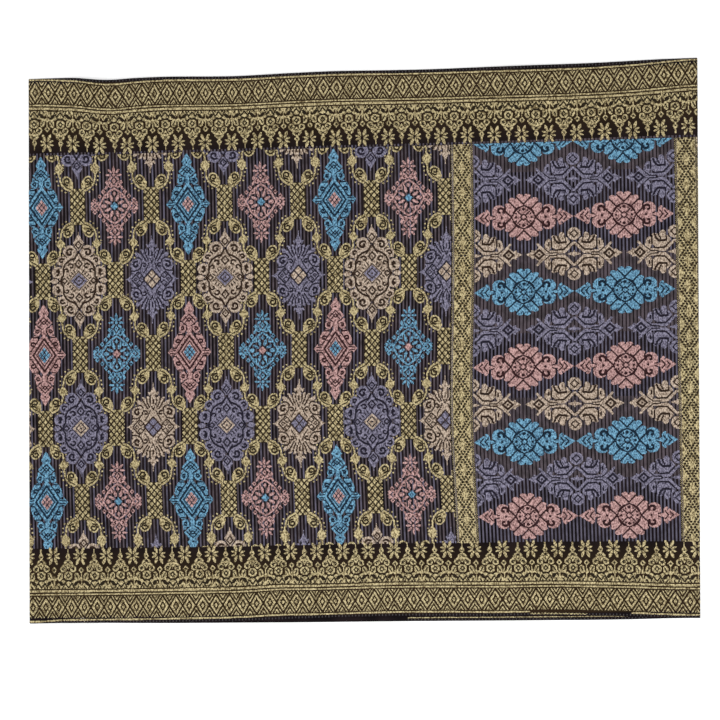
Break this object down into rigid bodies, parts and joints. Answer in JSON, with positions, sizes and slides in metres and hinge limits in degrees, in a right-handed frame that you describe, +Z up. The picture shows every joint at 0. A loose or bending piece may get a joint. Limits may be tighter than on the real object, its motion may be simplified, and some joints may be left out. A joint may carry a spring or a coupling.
{
  "type": "samping",
  "caption": "Songket waist cloth woven with gold and coloured floats, sewn into a tube and laid flat with its head panel to one side.",
  "frame": {"origin": "centre of the laid cloth's footprint, on the table face under it", "axes": "+X across the cloth, along its weft, towards the head panel's side fold, +Y up the garment to its top selvage, +Z up off the table"},
  "size_m": [1.013, 0.8226, 0.0079],
  "materials": {
    "songket_cloth": "dark ribbed ground weave, matt",
    "gold_thread": "dull metallic gold weft floats",
    "blue_thread": "silky blue weft floats",
    "pink_thread": "silky rose weft floats",
    "tan_thread": "silky tan weft floats",
    "lilac_thread": "silky grey lilac weft floats",
    "sewing_thread": "dark sewing thread"
  },
  "bodies": {
    "root": {"front_stretch": "songket_cloth", "back_stretch": "songket_cloth", "back_end": "songket_cloth"}
  },
  "joints": []
}
